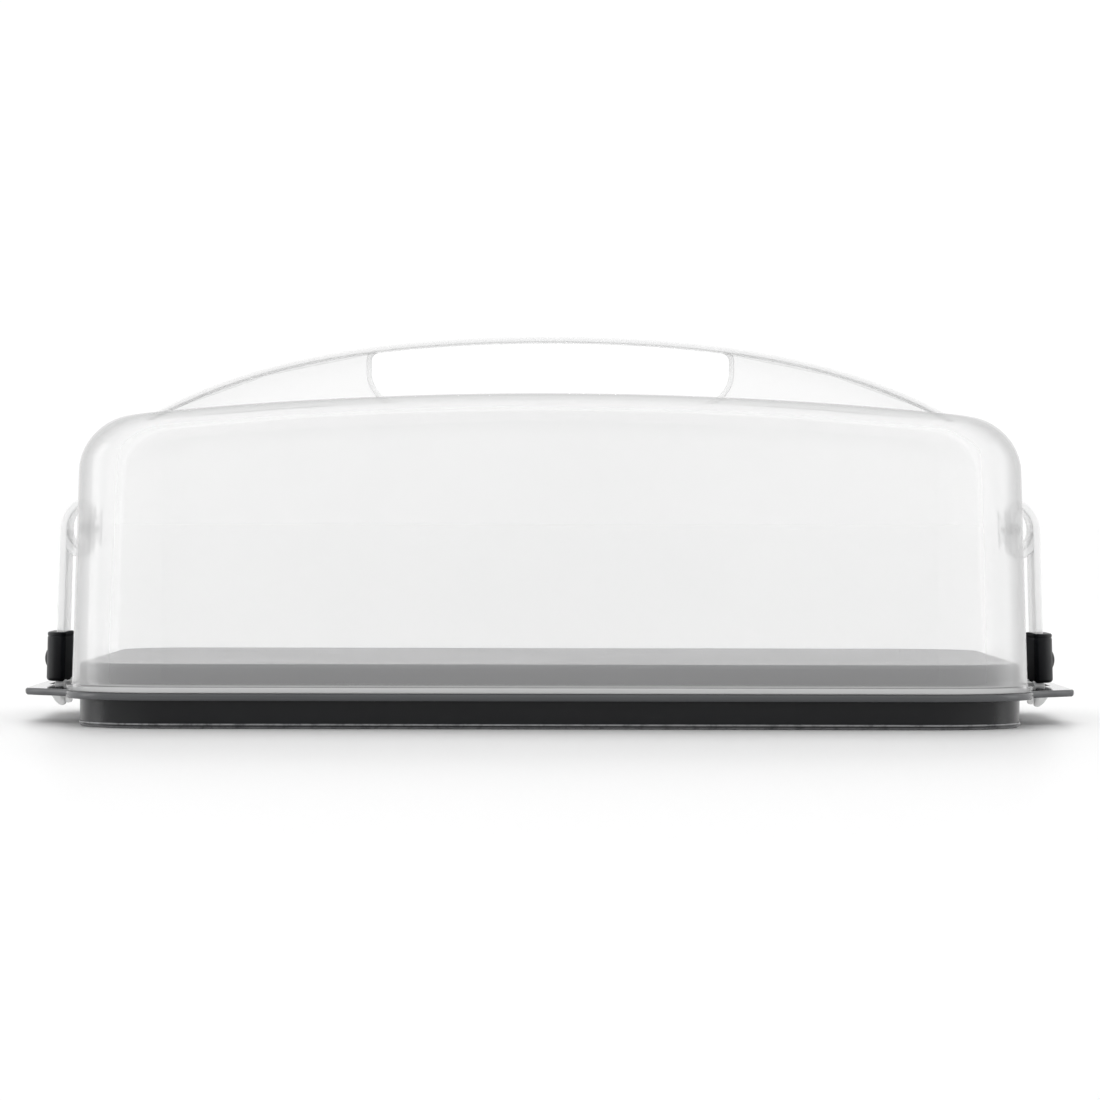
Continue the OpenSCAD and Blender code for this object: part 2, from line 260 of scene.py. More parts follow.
def mark(piece, name, share):
    """Stores a number from 0 to 1 at every vertex for the materials, one for all or one for each."""
    layer = piece.data.attributes.new(name, "FLOAT", "POINT")
    layer.data.foreach_set("value", np.full(len(layer.data), share, np.float32))


# solid_share is 0 for the thin wall and 1 for a solid rim. inner_skin is 1 on the inside.
verts, faces = stack_rings(hood_rings())
hood = add_piece("hood_shell", verts, faces, "cover")
mark(hood, "solid_share", 1 - np.clip((verts[:, 2] - HOOD_Z - RIM_T) / (1.0 * MM), 0, 1))
inner_rings = WALL_STEPS + 2 + BROW_STEPS + 1 + ROOF_STEPS - 1
mark(hood, "inner_skin", np.arange(len(verts)) < inner_rings * AROUND)
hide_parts("hood")

# %% [markdown]
# ## The tray
# The tray is a shallow plate turned upside down: a foot, a flange that the hood's rim sits on, and
# a raised platform for the cake. One profile goes once round the plan. Along the short sides the
# flange reaches further out and becomes the tab, so its radius is a function of y there: a flat
# outer edge that falls away to the flange with a smooth step.

# %% Tray surface
TAB_REACH = tray_high[0] - (CORNER_X + FLANGE_R)
TAB_ROOT = 184.0 * MM
TAB_TIP = 140.0 * MM
TAB_EASE = 0.22
SOLE_R = 1.1 * MM
BEAD_Z = 1.8 * MM
BEAD_R = 0.55 * MM
BEAD_OUT = 0.5 * MM
PLATFORM_EDGE = 2.0 * MM
SLOT_IN = 204.7 * MM
SLOT_OUT = 215.0 * MM
SLOT_HALF = 20.1 * MM


def smooth_step(t):
    """0 below 0, 1 above 1, and 3t^2 - 2t^3 between."""
    t = np.clip(t, 0, 1)
    return t * t * (3 - 2 * t)


def tab_reach():
    """How far the flange's edge stands out beyond its plain outline, at every point of the plan. The
    way from the flange to the tab is 78 % straight line and 22 % smooth step."""
    on_short_side = np.abs(NORMAL[:, 0]) > 0.999
    line = np.clip((TAB_ROOT / 2 - np.abs(SPINE[:, 1])) / ((TAB_ROOT - TAB_TIP) / 2), 0, 1)
    return np.where(on_short_side, TAB_REACH * ((1 - TAB_EASE) * line + TAB_EASE * smooth_step(line)), 0.0)


def tray_rings():
    """The profile from the middle of the underside, over the foot and the flange, to the middle of
    the platform."""
    under = PLATFORM_Z - PLATFORM_T
    inner = PLATFORM_R - FOOT_WALL
    middle = ring(inner - 6 * MM, under)
    rings = [middle * [t, t, 1] for t in np.linspace(0.08, 1, 5)]
    rings += edge_rings(inner - 2 * MM, under - 2 * MM, 2 * MM, 90, 0, 4)
    rings += [ring(inner, 1.0 * MM), ring(inner + 0.4 * MM, 0.0)]
    rings += edge_rings(PLATFORM_R - SOLE_R, SOLE_R, SOLE_R, -90, 0, 5)
    rings += edge_rings(PLATFORM_R - 0.15 * MM, BEAD_Z, BEAD_OUT, -80, 80, 8, BEAD_R)
    fillet = 0.8 * MM
    root = PLATFORM_R + fillet
    rings += edge_rings(root, FOOT_H - fillet, fillet, 180, 90, 4)
    edge = (FLANGE_Z - FOOT_H) / 2
    edge_out = edge * 0.62
    outer = FLANGE_R + tab_reach() - edge_out
    flats = [root + (outer - 0.25 * MM - root) * t for t in (0.05, 0.5, 1.0)]
    rings += [ring(radius, FOOT_H) for radius in flats]
    rings += edge_rings(outer, FOOT_H + edge, edge_out, -90, 90, 10, edge)
    rings += [ring(radius, FLANGE_Z) for radius in flats[::-1]]
    rings += edge_rings(root, FLANGE_Z + fillet, fillet, -90, -180, 4)
    rings += edge_rings(PLATFORM_R - PLATFORM_EDGE, PLATFORM_Z - PLATFORM_EDGE, PLATFORM_EDGE, 0, 90, 7)
    top = rings[-1]
    return rings + [top * [t, t, 1] for t in [0.997] + list(np.linspace(1, 0.06, 9)[1:])]


def cut_slots(piece):
    """Cuts the slot for the latch prongs through each tab with a rounded box."""
    for side in (-1, 1):
        form = bmesh.new()
        bmesh.ops.create_cube(form, size=1)
        scale = Matrix.Diagonal((SLOT_OUT - SLOT_IN, 2 * SLOT_HALF, 8 * MM, 1))
        place = Matrix.Translation((side * (SLOT_IN + SLOT_OUT) / 2, 0, (FOOT_H + FLANGE_Z) / 2))
        form.transform(place @ scale)
        upright = [e for e in form.edges if abs(e.verts[0].co.z - e.verts[1].co.z) > 5 * MM]
        bmesh.ops.bevel(form, geom=upright, offset=0.4 * MM, segments=3, affect="EDGES", profile=0.5)
        mesh = bpy.data.meshes.new("slot_cutter")
        form.to_mesh(mesh)
        form.free()
        cutter = bpy.data.objects.new("slot_cutter", mesh)
        bpy.context.scene.collection.objects.link(cutter)
        cut = piece.modifiers.new("slot", "BOOLEAN")
        cut.operation = "DIFFERENCE"
        cut.solver = "EXACT"
        cut.object = cutter
        depsgraph = bpy.context.evaluated_depsgraph_get()
        result = bpy.data.meshes.new_from_object(piece.evaluated_get(depsgraph))
        piece.modifiers.clear()
        piece.data = result
        bpy.data.objects.remove(cutter)
    piece.data.shade_smooth()
    piece.data.set_sharp_from_angle(angle=SMOOTH_ANGLE)


verts, faces = stack_rings(tray_rings())
tray = add_piece("tray_plate", verts, faces, "base")
cut_slots(tray)
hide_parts("tray")
print("faces of the tray with its slots cut:", len(tray.data.polygons))

# %% [markdown]
# ## The carry handle
# The handle is a fin along the middle of the roof, moulded with the hood. Its top line is the
# roof's arch plus a bow that dies out at both ends. A rail with soft edges runs along the top
# and is kind to the fingers. Under it a thin web fills both ends, and a bead runs round the hand
# window.

# %% Handle lines
HANDLE_RISE = handle_high[2] - CROWN_Z
HANDLE_HALF = ROOF_END + 3.0 * MM
HANDLE_CUT = 0.985
BOW_SHARE = 0.45
RAIL_T = 2.3 * MM
RAIL_W = handle_high[1] - handle_low[1]
WINDOW_X = 77.3 * MM
WINDOW_R = 13.0 * MM
WINDOW_TOP_R = 3.0 * MM
BEAD_W = 2.2 * MM
SEAT = 0.1 * MM


def handle_height(x):
    """Arch plus rise * (1 - 0.45 u^2 - 0.55 u^4), where u is x over the handle's half length."""
    u = x / HANDLE_HALF
    return roof_height(x) + HANDLE_RISE * (1 - BOW_SHARE * u ** 2 - (1 - BOW_SHARE) * u ** 4)


def arc_points(x, z, r, turn):
    """Points on a circle about (x, z): x + r * cos and z + r * sin of every angle."""
    return np.column_stack([x + r * np.cos(turn), z + r * np.sin(turn)])


def rounded_section(half_w, half_t, r, steps=4, flat_steps=1):
    """A rounded rectangle as (across, up) pairs, counter-clockwise: four quarter circles, and the
    long flats between them cut into flat_steps."""
    points = []
    for i, (sx, sz) in enumerate([(1, 1), (-1, 1), (-1, -1), (1, -1)]):
        points.append(arc_points(sx * (half_w - r), sz * (half_t - r), r, arc(90 * i, 90 * i + 90, steps)))
        if i % 2 == 0:
            across = np.linspace(sx * (half_w - r), -sx * (half_w - r), flat_steps + 1)[1:-1]
            points.append(np.column_stack([across, np.full(len(across), sz * half_t)]))
    return np.concatenate(points)


def rail_rings():
    """The rail's section carried along the handle's line. Near the ends it thins to the room that
    is left above the roof, so that it runs out on it."""
    xs = HANDLE_HALF * HANDLE_CUT * np.sin(np.linspace(-math.pi / 2, math.pi / 2, 121))[:, None]
    section = rounded_section(RAIL_W / 2, RAIL_T / 2, 0.8 * MM, flat_steps=4)
    top = handle_height(xs)
    thickness = np.clip(top - roof_height(xs) - SEAT, 0.6 * MM, RAIL_T)
    up = top - thickness / 2 + section[:, 1] * (thickness / RAIL_T)
    return np.stack([np.broadcast_to(xs, up.shape), np.broadcast_to(section[:, 0], up.shape), up], axis=-1)


verts, faces = stack_rings(rail_rings())
rail = add_piece("handle_rail", verts, faces, "cover")
mark(rail, "solid_share", 0.8)
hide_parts("carry_handle")

# %% [markdown]
# The web fills the thin wedge between the roof and the rail on either side of the hand window. It is
# a grid: one side of it is the window's curved edge, and the other is the point where the rail runs
# out on the roof. The bead is a rounded section carried along the same edge, so the two always meet.

# %% Handle webs and window bead
WEB_HALF = 1.1 * MM
WEB_END = 0.955
WEB_EASE = 0.12


def window_edge():
    """Right-hand edge of the hand window from under the rail down to the roof, as (x, z) pairs:
    a small arc, a straight and a large arc."""
    low = roof_height(WINDOW_X - WINDOW_R) + WINDOW_R
    high = handle_height(WINDOW_X) - RAIL_T - WINDOW_TOP_R
    return np.concatenate([arc_points(WINDOW_X - WINDOW_TOP_R, high, WINDOW_TOP_R, arc(80, 0, 6)),
                           arc_points(WINDOW_X - WINDOW_R, low, WINDOW_R, arc(0, -84, 14))])


def web_solid(side):
    """A thin plate between the roof, the rail and the window's edge. Its columns run from the edge
    out to the end of the handle, and its rows from the roof up to the rail. Over the first 12 % of
    the way out, the rows ease from the edge's own heights to even shares of the gap."""
    edge = window_edge()[::-1]
    share = ((edge[:, 1] - edge[0, 1]) / (edge[-1, 1] - edge[0, 1]))[:, None]
    out = np.linspace(0, 1, 40)
    x = edge[:, :1] + (HANDLE_HALF * WEB_END - edge[:, :1]) * out
    low = roof_height(x) + SEAT
    high = handle_height(x) - RAIL_T * 0.6
    ease = np.clip(out / WEB_EASE, 0, 1)
    z = edge[:, 1:] * (1 - ease) + (low + (high - low) * share) * ease
    z = np.clip(z, low, np.maximum(high, low + 0.2 * MM))
    front, back = (np.stack([side * x, np.full_like(x, y), z], axis=-1) for y in (-WEB_HALF, WEB_HALF))
    return stack_rings(np.concatenate([front, back[:, ::-1]], axis=1))


def path_normals(path):
    """Unit normals of a path in x and z: its direction turned a quarter to the left."""
    slope = np.gradient(path, axis=0)
    slope /= np.linalg.norm(slope, axis=1)[:, None]
    return np.column_stack([-slope[:, 1], slope[:, 0]])


def bead_solid(side):
    """A bead round the window's edge: a rounded section carried along the edge, square to it, and
    kept above the roof."""
    edge = window_edge()
    outward = path_normals(edge)
    section = rounded_section(2.4 * MM, BEAD_W / 2, 0.9 * MM)
    at = (edge + outward * BEAD_W / 2)[:, None] + outward[:, None] * section[:, 1:2]
    x = at[..., 0]
    z = np.maximum(at[..., 1], roof_height(x) + SEAT)
    return stack_rings(np.stack([side * x, np.broadcast_to(section[:, 0], x.shape), z], axis=-1))


for side, word in SIDES:
    for make, name, share in ((web_solid, "handle_web_", 0.0), (bead_solid, "window_bead_", 0.3)):
        verts, faces = make(side)
        piece = add_piece(name + word, verts, faces, "cover")
        mark(piece, "solid_share", share)
        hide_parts("carry_handle")

# %% [markdown]
# ## The latches
# Each latch is one milky lever and a black rubber sleeve. The lever is drawn as it hangs from its
# pin: x points away from the hood, z up, and y runs along the pin. A strap comes up from the tab,
# bends over in a D-shaped loop and comes back down as the bar that holds the hub. One rounded
# section is carried along that path, so the bends need no patching.

# %% Latch frame and sizes
PIN_Z = FLANGE_Z + 66.9 * MM
PIN_X = HOOD_HALF_X - (PIN_Z - HOOD_Z) * DRAFT + 3.7 * MM
LEAN = math.radians(1.5)
LOOP_R = 14.4 * MM
STRAP_OUT = 11.4 * MM
STRAP_T = 3.2 * MM
STRAP_W = 34.0 * MM
HUB_R = 2.88 * MM
BORE_R = 1.48 * MM
GRIP_LOW = -66.1 * MM
GRIP_H = 21.2 * MM
GRIP_W = 43.0 * MM
SHELF_Z = -70.6 * MM
TIP_Z = -76.2 * MM
STRAP_END = GRIP_LOW + 1.9 * MM
PRONG_T = 4.6 * MM
PRONG_W = 8.0 * MM
PRONG_Y = 15.5 * MM
BARB_OUT = 1.6 * MM


def hang(points, side):
    """Latch points to the carrier's frame: leaned about the pin, moved to it and mirrored for the left."""
    x, y, z = points[..., 0], points[..., 1], points[..., 2]
    out = PIN_X + x * math.cos(LEAN) - z * math.sin(LEAN)
    up = PIN_Z + x * math.sin(LEAN) + z * math.cos(LEAN)
    return np.stack([side * out, y, up], axis=-1)


print("pin at x = %.1f mm, z = %.1f mm" % (PIN_X / MM, PIN_Z / MM))

# %% [markdown]
# A strap that bends is a section carried along a path. The path comes as a few arcs and straights
# with uneven steps, so it is walked again in even ones first. Then one ring is laid square to the
# path at every step.

# %% Sections carried along a path
def resample(path, step):
    """The same polyline with points a step apart, by its running length."""
    run = np.concatenate([[0], np.cumsum(np.linalg.norm(np.diff(path, axis=0), axis=1))])
    at = np.linspace(0, run[-1], max(int(run[-1] / step), 2) + 1)
    return np.column_stack([np.interp(at, run, path[:, k]) for k in range(2)])


def carry(section, path):
    """Rings of a section carried along a path in x and z. Each ring is point + up * path normal,
    with the section's across along y."""
    flat = path[:, None, :] + path_normals(path)[:, None, :] * section[None, :, 1:2]
    across = np.broadcast_to(section[:, 0], flat.shape[:2])
    return np.stack([flat[..., 0], across, flat[..., 1]], axis=-1)


def pinch_ends(rings, share):
    """Shrinks the first and last rings by a share so that the ends of a strap are not knife-sharp."""
    pinch = np.ones(len(rings))
    pinch[[0, -1]] = 1 - share
    centre = rings.mean(axis=1, keepdims=True)
    return centre + (rings - centre) * pinch[:, None, None]


def closed_tube(rings):
    """Vertices and faces of rings whose last meets the first, so there are no ends to close."""
    verts = rings.reshape(-1, 3)
    return verts, point_outwards(verts, quads_between(*rings.shape[:2], wrap=True).tolist())


def round_outline(points, r, steps=4):
    """A closed outline with every corner replaced by a short curve: a quadratic arc from r before
    the corner to r after it."""
    points = np.asarray(points, float)
    ends = []
    for way in (1, -1):
        leg = np.roll(points, way, axis=0) - points
        length = np.linalg.norm(leg, axis=1)[:, None]
        ends.append((points + leg / length * np.minimum(r, 0.45 * length))[:, None])
    t = np.linspace(0, 1, steps + 1)[None, :, None]
    curve = (1 - t) ** 2 * ends[0] + 2 * t * (1 - t) * points[:, None] + t ** 2 * ends[1]
    return curve.reshape(-1, 2)


def soft_plate(outline, y_low, y_high, r):
    """A plate from an outline in x and z with rounded rims: over the rim the outline shrinks along
    its own normals by r * (1 - sin) while y moves by r * cos."""
    ahead, behind = np.roll(outline, -1, axis=0), np.roll(outline, 1, axis=0)
    slope = ahead - behind
    slope /= np.linalg.norm(slope, axis=1)[:, None]
    area = (outline[:, 0] * ahead[:, 1] - ahead[:, 0] * outline[:, 1]).sum()
    outward = np.column_stack([slope[:, 1], -slope[:, 0]]) * math.copysign(1, area)
    rims = [(phi, y_low + r - r * math.cos(phi)) for phi in arc(0, 90, 4)]
    rims += [(phi, y_high - r + r * math.cos(phi)) for phi in arc(90, 0, 4)]
    rings = []
    for phi, y in rims:
        shrunk = outline - outward * r * (1 - math.sin(phi))
        rings.append(np.column_stack([shrunk[:, 0], np.full(len(outline), y), shrunk[:, 1]]))
    return np.array(rings)


# %% [markdown]
# The lever is five closed shells in one mesh: the strap with the upper half of its loop, the lower
# half, the hub that the pin runs through, and the two prongs. They overlap where the real lever is
# one moulding. Both halves of the loop bend back to the pin, and a barb on each prong hooks outwards
# under the tray's tab.


# %% Lever of a latch
def loop_paths():
    """Centre line of strap and loop. Upper: strap, arc over the top, small bend, bar down to the hub.
    Lower: bar from the hub, small bend, arc back to the strap. The arcs meet where the line from one
    middle to the other crosses them."""
    middle = LOOP_R - STRAP_T / 2
    centre_x = STRAP_OUT - LOOP_R
    bend = 3.0 * MM
    meet = math.degrees(math.acos((bend - centre_x) / (middle - bend)))
    small = arc_points(bend, (middle - bend) * math.sin(math.radians(meet)), bend, arc(meet, 180, 12))
    bar_end = HUB_R * 0.94
    upper = np.concatenate([[[STRAP_OUT - STRAP_T / 2, STRAP_END]],
                            arc_points(centre_x, 0, middle, arc(0, meet, 20)), small, [[0, bar_end]]])
    lower = np.concatenate([[[0, -bar_end]], small[::-1] * [1, -1],
                            arc_points(centre_x, 0, middle, arc(-meet, -4, 24))])
    return resample(upper, 0.9 * MM), resample(lower, 0.9 * MM)


def hub_rings():
    """A tube about the pin: its rounded wall section turned once round, with y as the axis."""
    turn = np.linspace(0, 2 * math.pi, 40, endpoint=False)
    wall = rounded_section(STRAP_W / 2, (HUB_R - BORE_R) / 2, 0.35 * MM, steps=3)
    radius = (HUB_R + BORE_R) / 2 + wall[:, 1]
    return np.stack([np.outer(np.cos(turn), radius), np.broadcast_to(wall[:, 0], (len(turn), len(wall))),
                     np.outer(np.sin(turn), radius)], axis=-1)


def prong_outline():
    """Side view of a prong: down through the slot, a barb that hooks outwards, and a sloped tip."""
    inner = STRAP_OUT - PRONG_T
    drop = TIP_Z - SHELF_Z
    top = STRAP_END - 1.0 * MM
    return round_outline([
        (STRAP_OUT, top), (STRAP_OUT, SHELF_Z), (STRAP_OUT + BARB_OUT, SHELF_Z),
        (STRAP_OUT + 1.1 * MM, SHELF_Z + drop * 0.35), (STRAP_OUT - 0.5 * MM, SHELF_Z + drop * 0.72),
        (STRAP_OUT - 2.5 * MM, TIP_Z), (inner + 0.5 * MM, TIP_Z), (inner, TIP_Z - drop * 0.15),
        (inner, top)], 0.7 * MM)


def lever_shells():
    """All shells of one lever, in the latch's own frame, as a list of (rings, closed) pairs. The
    lower half of the loop stops at the strap's inner face."""
    section = rounded_section(STRAP_W / 2, STRAP_T / 2, 0.8 * MM)
    upper, lower = loop_paths()
    top = pinch_ends(carry(section, upper), 0.03)
    bottom = carry(section, lower)
    near_strap = np.arange(len(lower)) > len(lower) * 0.45
    limit = STRAP_OUT - STRAP_T - 0.04 * MM
    bottom[..., 0] = np.where(near_strap[:, None], np.minimum(bottom[..., 0], limit), bottom[..., 0])
    shells = [(top, False), (bottom, False), (hub_rings(), True)]
    for y in (-PRONG_Y, PRONG_Y):
        plate = soft_plate(prong_outline(), y - PRONG_W / 2, y + PRONG_W / 2, 0.5 * MM)
        shells.append((plate, False))
    return shells


def join_shells(shells, side):
    """Hangs every shell at its pin and numbers their faces on, one mesh for the whole lever."""
    all_verts, all_faces, count = [], [], 0
    for rings, closed in shells:
        verts, faces = closed_tube(hang(rings, side)) if closed else stack_rings(hang(rings, side))
        all_verts.append(verts)
        all_faces += [[i + count for i in face] for face in faces]
        count += len(verts)
    return np.concatenate(all_verts), all_faces


for side, word in SIDES:
    verts, faces = join_shells(lever_shells(), side)
    lever = add_piece("latch_lever_" + word, verts, faces, "latch_" + word)
    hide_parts("latch_arm_" + word)
    mark(lever, "solid_share", 0.7)

# %% [markdown]
# The sleeve is soft black rubber pushed over the strap's lower end. It is a stack of rounded
# rectangles whose size follows the height: rounded at the foot, a thin lip near the top, and a
# domed bump for the thumb on the outer face.

# %% Rubber sleeve
BUMP_R = 5.0 * MM
BUMP_OUT = 2.0 * MM
GRIP_IN = 7.0 * MM
GRIP_OUT = 15.6 * MM


def plan_outline(x_in, x_out, half_y, steps=10):
    """The sleeve seen from above, counter-clockwise: a long rectangle whose outer corners are wide
    quarter ellipses and whose inner corners are small."""
    points = []
    corners = [(x_out, half_y), (x_in, half_y), (x_in, -half_y), (x_out, -half_y)]
    signs = [(-1, -1), (1, -1), (1, 1), (-1, 1)]
    for i, ((x, y), (sx, sy)) in enumerate(zip(corners, signs)):
        turn = arc(90 * i, 90 * i + 90, steps)
        wide, deep = (6.4 * MM, 10.0 * MM) if sx < 0 else (1.8 * MM, 1.8 * MM)
        points.append(np.column_stack([x + sx * wide + wide * np.cos(turn),
                                       y + sy * deep + deep * np.sin(turn)]))
    return np.concatenate(points)


def sleeve_rings():
    """Rounded rectangles up the sleeve. The outline's inset is r * (1 - sin) over the rounded foot
    and top, and a groove 0.22 mm deep runs round under the top and leaves a lip above it."""
    half_y = GRIP_W / 2
    top = GRIP_LOW + GRIP_H
    foot_r, top_r = 1.6 * MM, 0.8 * MM
    levels = [(GRIP_LOW + foot_r * (1 - math.cos(phi)), foot_r * (1 - math.sin(phi)))
              for phi in arc(0, 90, 7)]
    groove = ((2.35, 0), (2.15, 0.12), (1.95, 0.22), (1.75, 0.22), (1.55, 0.12), (1.4, 0))
    levels += [(top - down * MM, deep * MM) for down, deep in groove]
    levels += [(top - top_r + top_r * math.sin(phi), top_r * (1 - math.cos(phi))) for phi in arc(0, 90, 5)]
    rings = []
    for z, inset in levels:
        plan = plan_outline(GRIP_IN + min(inset, 0.6 * MM), GRIP_OUT - inset, half_y - inset)
        rings.append(np.column_stack([plan, np.full(len(plan), z)]))
    return np.array(rings)


def bump_rings():
    """The thumb bump: circles about the outward axis. Out to the rim the height follows a ball's
    cap, and past it the skirt sinks into the sleeve."""
    ball = (BUMP_R ** 2 + BUMP_OUT ** 2) / (2 * BUMP_OUT)
    turn = np.linspace(0, 2 * math.pi, 48, endpoint=False)
    middle_z = GRIP_LOW + 0.45 * GRIP_H
    rings = []
    for radius in np.linspace(0.15, 1, 12) * BUMP_R:
        out = GRIP_OUT + math.sqrt(ball ** 2 - radius ** 2) - (ball - BUMP_OUT)
        rings.append(np.column_stack([np.full(48, out), arc_points(0, middle_z, radius, turn)]))
    return np.array(rings + [rings[-1] - [1.0 * MM, 0, 0]])


def rim_share(points):
    """1 at the lip under the top and at the upper and lower rims, and 0 from 0.8 mm away on."""
    edges = np.array([GRIP_LOW, GRIP_LOW + GRIP_H - 1.85 * MM, GRIP_LOW + GRIP_H])
    return np.clip(1 - np.abs(points[:, 2:3] - edges).min(axis=1) / (0.8 * MM), 0, 1)


for side, word in SIDES:
    shells = [sleeve_rings(), bump_rings()]
    verts, faces = join_shells([(rings, False) for rings in shells], side)
    sleeve = add_piece("grip_sleeve_" + word, verts, faces, "latch_" + word)
    own = np.concatenate([stack_rings(rings)[0] for rings in shells])
    mark(sleeve, "rim_share", rim_share(own))
    mark(sleeve, "tucked_share", np.clip((GRIP_IN + 2.4 * MM - own[:, 0]) / (0.8 * MM), 0, 1))
    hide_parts("latch_grip_" + word)
print("sleeves reach out to %.1f mm" % (np.abs(verts[:, 0]).max() / MM))

# %% [markdown]
# ## Camera
# The photograph is a catalogue picture, taken from about two metres with a long lens, level with
# the middle of the hood. The numbers were fitted to it: a focal length in pixels, the row that the
# lens looks straight at, and a roll of a tenth of a degree. Tilting the camera by those few pixels
# does the same as a shifted lens, so no shift is needed.

# %% Camera
IMAGE = 1100
FOCAL_PX = 5392
CAMERA_DISTANCE = 2.335
CAMERA_Z = 86.6 * MM
HORIZON_ROW = 517
ROLL = math.radians(0.11)

camera_data = bpy.data.cameras.new("camera")
camera_data.sensor_width = 36
camera_data.lens = FOCAL_PX / IMAGE * camera_data.sensor_width
camera_data.clip_end = 100
pitch = math.atan((IMAGE / 2 - HORIZON_ROW) / FOCAL_PX)
camera = bpy.data.objects.new("camera", camera_data)
turn = Matrix.Rotation(math.pi / 2 - pitch, 4, "X") @ Matrix.Rotation(ROLL, 4, "Z")
camera.matrix_world = Matrix.Translation((0, -CAMERA_DISTANCE, CAMERA_Z)) @ turn
bpy.context.scene.collection.objects.link(camera)
bpy.context.scene.camera = camera
print("lens:", round(camera_data.lens, 1), "mm")

# %% [markdown]
# ## Floor and light
# The carrier stands on a white sweep of slightly glossy paper. At this low angle the paper mirrors
# the white wall behind, which is why only a short soft shadow is left. Every material below is
# wired from nodes, so one helper makes a node and another fills its inputs.

# %% Helpers for nodes
def wire(tree, node, inputs):
    """Fills a node's inputs by name: a socket is linked, and a number or a colour is set."""
    for name, value in inputs.items():
        if isinstance(value, bpy.types.NodeSocket):
            tree.links.new(value, node.inputs[name])
        else:
            node.inputs[name].default_value = value


def put(tree, kind, inputs=None, **settings):
    """A new node with its own options set from settings and its inputs wired."""
    node = tree.nodes.new("ShaderNode" + kind)
    for name, value in settings.items():
        setattr(node, name, value)
    wire(tree, node, inputs or {})
    return node


def calc(tree, operation, first, second=0.0, clamp=False):
    """One step of arithmetic between two numbers or sockets."""
    return put(tree, "Math", {0: first, 1: second}, operation=operation, use_clamp=clamp).outputs[0]


def ramp(tree, value, low, high, start=0.0, end=1.0):
    """start below low, end above high, and a smooth step between."""
    limits = {"Value": value, "From Min": low, "From Max": high, "To Min": start, "To Max": end}
    return put(tree, "MapRange", limits, interpolation_type="SMOOTHSTEP").outputs[0]


def blend(tree, share, first, second):
    """first where share is 0 and second where it is 1, for numbers."""
    return put(tree, "Mix", {"Factor": share, "A": first, "B": second}).outputs["Result"]


def blend_colour(tree, share, first, second):
    """first where share is 0 and second where it is 1, for colours: sockets or three numbers."""
    one, other = [(*colour, 1) if isinstance(colour, tuple) else colour for colour in (first, second)]
    return put(tree, "Mix", {"Factor": share, "A": one, "B": other}, data_type="RGBA").outputs["Result"]


def new_material(name, roughness, ior=1.5, specular=0.5):
    """A node material, its tree and its Principled shader, with the numbers that never vary set on
    the shader."""
    material = bpy.data.materials.new(name)
    material.use_nodes = True
    shader = material.node_tree.nodes["Principled BSDF"]
    wire(material.node_tree, shader, {"Roughness": roughness, "IOR": ior, "Specular IOR Level": specular})
    return material, material.node_tree, shader


# %% [markdown]
# The paper is one large square in a single shade. It reaches so far out that its edge lies on the
# horizon, and its white is chosen so that the far floor and the room meet without a line when they
# are seen from the front.


# %% Floor
FLOOR_WHITE = 0.79
FLOOR_REACH = 60.0

corners = [(x * FLOOR_REACH, y * FLOOR_REACH, 0) for x, y in ((-1, -1), (1, -1), (1, 1), (-1, 1))]
floor_mesh = bpy.data.meshes.new("floor")
floor_mesh.from_pydata(corners, [], [(0, 1, 2, 3)])
floor = bpy.data.objects.new("floor", floor_mesh)
bpy.context.scene.collection.objects.link(floor)
floor_paper, floor_tree, paper_shader = new_material("floor_paper", 0.36)
wire(floor_tree, paper_shader, {"Base Color": (FLOOR_WHITE, FLOOR_WHITE, FLOOR_WHITE, 1)})
floor_mesh.materials.append(floor_paper)

# %% [markdown]
# The room is white all round, a little dimmer overhead, and dark in a patch behind the camera. A
# black foot shows nothing but reflections, and without that patch it would look grey. A wide soft
# box stands at each side for the gentle streaks down the hood's corners. A broad light from behind
# throws the long pale shadow towards the camera, and a weak one from the front lifts the milky wall.
# Both are kept out of reflections: the floor would mirror the first as a band, and the black foot
# would mirror the second.

# %% Room
def white_room(horizon, overhead, dim, wide, seen):
    """World light: horizon all round, overhead above, and dim inside a cone about -Y that is wide
    degrees from middle to edge. The camera itself sees an even white of the strength seen."""
    world = bpy.data.worlds.new("white_room")
    bpy.context.scene.world = world
    world.use_nodes = True
    tree = world.node_tree
    direction = put(tree, "TexCoord").outputs["Generated"]
    height = put(tree, "SeparateXYZ", {0: direction}).outputs["Z"]
    ceiling = ramp(tree, height, 0.45, 0.85, horizon, overhead)
    towards = {0: direction, 1: (0, -0.95, -0.31)}
    behind = put(tree, "VectorMath", towards, operation="DOT_PRODUCT").outputs["Value"]
    patch = ramp(tree, behind, math.cos(math.radians(wide)), math.cos(math.radians(wide * 0.35)))
    light = blend(tree, patch, ceiling, dim)
    by_camera = put(tree, "LightPath").outputs["Is Camera Ray"]
    strength = blend(tree, by_camera, light, seen)
    wire(tree, tree.nodes["Background"], {"Color": (1, 1, 1, 1), "Strength": strength})


def add_light(name, kind, power):
    """A light of a kind and power in the scene: its data and its object."""
    light = bpy.data.lights.new(name, kind)
    light.energy = power
    lamp = bpy.data.objects.new(name, light)
    bpy.context.scene.collection.objects.link(lamp)
    return light, lamp


def soft_box(name, side, power):
    """A tall rectangular light beside the carrier, aimed at it. The camera does not see it."""
    light, box = add_light(name, "AREA", power)
    light.shape = "RECTANGLE"
    light.size, light.size_y = 0.8, 1.3
    box.location = (side * 2.6, 0.45, 0.6)
    box.rotation_euler = (Vector((0, 0, 0.08)) - box.location).to_track_quat("-Z", "Y").to_euler()
    box.visible_camera = False


